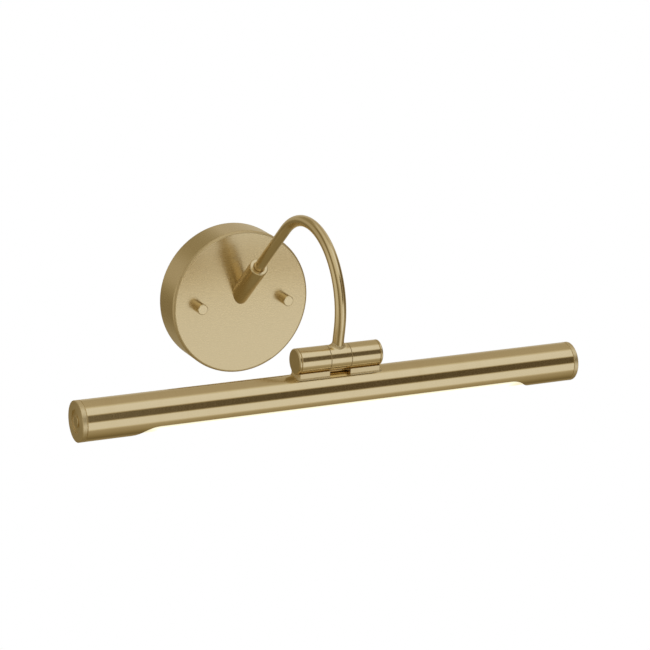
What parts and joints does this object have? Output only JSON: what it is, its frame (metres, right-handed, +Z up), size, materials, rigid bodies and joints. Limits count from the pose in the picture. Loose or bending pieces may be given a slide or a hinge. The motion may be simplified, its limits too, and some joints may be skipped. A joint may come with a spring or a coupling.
{
  "type": "picture light",
  "caption": "Wall-mounted picture light: a tilting tubular LED lamp head with an opal underside, carried by a barrel joint on a bent arm from a round canopy.",
  "frame": {"origin": "centre of the canopy's back plane, on the wall, which is the centre of the strap's two wall-screw slots", "axes": "+X along the lamp tube, +Y into the wall, +Z up"},
  "size_m": [0.38, 0.198, 0.1465],
  "materials": {
    "satin_brass": "satin brushed",
    "turned_brass": "turned",
    "steel": "zinc plated",
    "aluminium": "extruded",
    "board_white": "solder mask",
    "led_phosphor": "phosphor",
    "opal": "opal",
    "driver_case": "fine texture",
    "foam": "foam",
    "terminal_white": "moulded",
    "rubber_black": "matte",
    "fibre": "pressed fibre",
    "lead_clear": "sheath",
    "lead_brown": "insulation",
    "lead_blue": "insulation",
    "lead_green": "insulation, green with a yellow stripe"
  },
  "bodies": {
    "wall_side": {"wall_strap": "steel", "strap_studs": "steel", "stud_nuts": "steel", "earth_screw": "steel", "terminal_screws": "steel", "ferrule_grub_screw": "steel", "spring_washer_left": "steel", "spring_washer_right": "steel", "nipple_nut_left": "steel", "nipple_nut_right": "steel", "canopy": "satin_brass", "cap_nut_left": "satin_brass", "cap_nut_right": "satin_brass", "ferrule": "satin_brass", "gooseneck_arm": "satin_brass", "knuckle_centre": "satin_brass", "knuckle_nipple": "turned_brass", "led_driver": "driver_case", "driver_pad": "foam", "terminal_block": "terminal_white", "cable_bush": "rubber_black", "friction_washer_left": "fibre", "friction_washer_right": "fibre", "arm_lead": "lead_clear", "supply_lead_live": "lead_brown", "supply_lead_neutral": "lead_blue", "earth_lead": "lead_green"},
    "head": {"knuckle_sleeve_left": "satin_brass", "knuckle_sleeve_right": "satin_brass", "knuckle_cap_left": "satin_brass", "knuckle_cap_right": "satin_brass", "bracket_leg_left": "satin_brass", "bracket_leg_right": "satin_brass", "bracket_screws": "steel", "lamp_tube": "satin_brass", "heat_sink": "aluminium", "led_board": "board_white", "led_chips": "led_phosphor", "board_screws": "steel", "diffuser": "opal", "end_cap_left": "satin_brass", "end_cap_right": "satin_brass", "end_cap_screw_left": "satin_brass", "end_cap_screw_right": "satin_brass", "head_lead": "lead_clear"}
  },
  "joints": [
    {"name": "head_tilt", "type": "hinge", "parent": "wall_side", "child": "head", "pos_m": [0, -0.184, 0.0047], "axis": [1, 0, 0], "range_deg": [-90, 90]}
  ]
}
